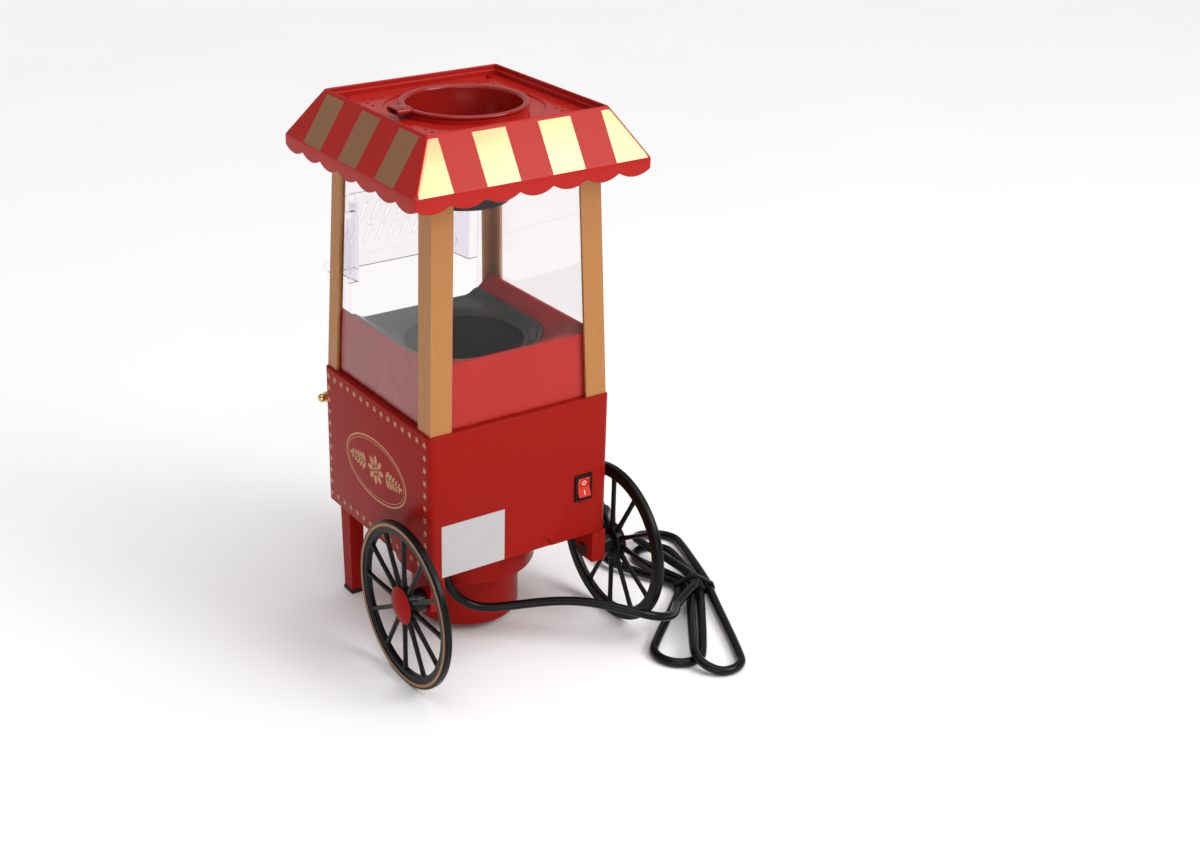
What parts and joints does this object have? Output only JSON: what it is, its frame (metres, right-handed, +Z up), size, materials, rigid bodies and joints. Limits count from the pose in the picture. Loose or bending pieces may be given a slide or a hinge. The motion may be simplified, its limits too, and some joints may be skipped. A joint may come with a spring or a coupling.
{
  "type": "popcorn maker",
  "caption": "Cart-style hot-air popcorn maker: red base with spoked wheels and legs, clear tank with gold posts, slotted front flap, scalloped roof with a measuring cup, tied mains lead.",
  "frame": {"origin": "on the floor, under the middle of the machine's box without its lead", "axes": "+Z up, -Y to the front where the popcorn comes out, +X to the right as seen from the front"},
  "size_m": [0.309, 0.3038, 0.4128],
  "materials": {
    "red_plastic": "glossy",
    "clear_plastic": "clear and polished",
    "gold_plastic": "gold lacquer",
    "gold_metal": "polished",
    "black_plastic": "satin",
    "switch_red": "glossy",
    "dark_aluminium": "dark anodised",
    "sheet_steel": "satin",
    "steel": "bright",
    "mica": "matt",
    "board": "matt",
    "contact_brass": "bright",
    "label_film": "satin",
    "foot_rubber": "matt",
    "cord_rubber": "satin"
  },
  "bodies": {
    "body": {"base_shell": "red_plastic", "base_floor": "red_plastic", "deck_shell": "red_plastic", "motor_housing": "red_plastic", "front_leg_right": "red_plastic", "front_leg_left": "red_plastic", "axle_bracket_right": "red_plastic", "axle_bracket_left": "red_plastic", "canopy": "red_plastic", "canopy_tray": "red_plastic", "side_window_right": "clear_plastic", "side_window_left": "clear_plastic", "rear_window": "clear_plastic", "front_frame": "clear_plastic", "corner_post_front_right": "gold_plastic", "corner_post_front_left": "gold_plastic", "corner_post_rear_right": "gold_plastic", "corner_post_rear_left": "gold_plastic", "push_handle": "gold_metal", "chute_pan": "black_plastic", "feed_bowl": "black_plastic", "switch_bezel": "black_plastic", "motor_carrier": "black_plastic", "intake_grille": "black_plastic", "popping_chamber": "dark_aluminium", "air_duct": "sheet_steel", "motor_can": "sheet_steel", "thermostat": "sheet_steel", "axle_right": "steel", "axle_left": "steel", "axle_clips": "steel", "heater_coil": "steel", "floor_screws": "steel", "housing_screws": "steel", "bracket_screws": "steel", "leg_screws": "steel", "roof_screws": "steel", "heater_frame": "mica", "rectifier_board": "board", "thermal_fuse": "board", "switch_terminals": "contact_brass", "plug_pins": "contact_brass", "rating_label": "label_film", "foot_pad_right": "foot_rubber", "foot_pad_left": "foot_rubber", "cord_gland": "cord_rubber", "cord_lead": "cord_rubber", "cord_hank": "cord_rubber", "cord_tie": "cord_rubber", "plug_body": "cord_rubber"},
    "wheel_right": {"wheel_right": "black_plastic", "hub_cap_right": "red_plastic"},
    "wheel_left": {"wheel_left": "black_plastic", "hub_cap_left": "red_plastic"},
    "rocker": {"switch_rocker": "switch_red"},
    "flap": {"front_flap": "clear_plastic"},
    "cup": {"measuring_cup": "red_plastic"},
    "fan_rotor": {"fan_impeller": "black_plastic", "motor_shaft": "steel"}
  },
  "joints": [
    {"name": "wheel_right_spin", "type": "hinge", "parent": "body", "child": "wheel_right", "pos_m": [0.0928, 0.0577, 0.0636], "axis": [1, 0, 0], "continuous": true},
    {"name": "wheel_left_spin", "type": "hinge", "parent": "body", "child": "wheel_left", "pos_m": [-0.0928, 0.0577, 0.0636], "axis": [1, 0, 0], "continuous": true},
    {"name": "rocker_tip", "type": "hinge", "parent": "body", "child": "rocker", "pos_m": [-0.055, 0.068, 0.125], "axis": [-1, 0, 0], "range_deg": [0, 16]},
    {"name": "flap_swing", "type": "hinge", "parent": "body", "child": "flap", "pos_m": [0, -0.08431, 0.321], "axis": [-1, 0, 0], "range_deg": [0, 60]},
    {"name": "cup_lift", "type": "slide", "parent": "body", "child": "cup", "axis": [0, 0, 1], "range_m": [0, 0.07]},
    {"name": "fan_spin", "type": "hinge", "parent": "body", "child": "fan_rotor", "pos_m": [0, -0.0105, 0.06], "axis": [0, 0, 1], "continuous": true}
  ]
}
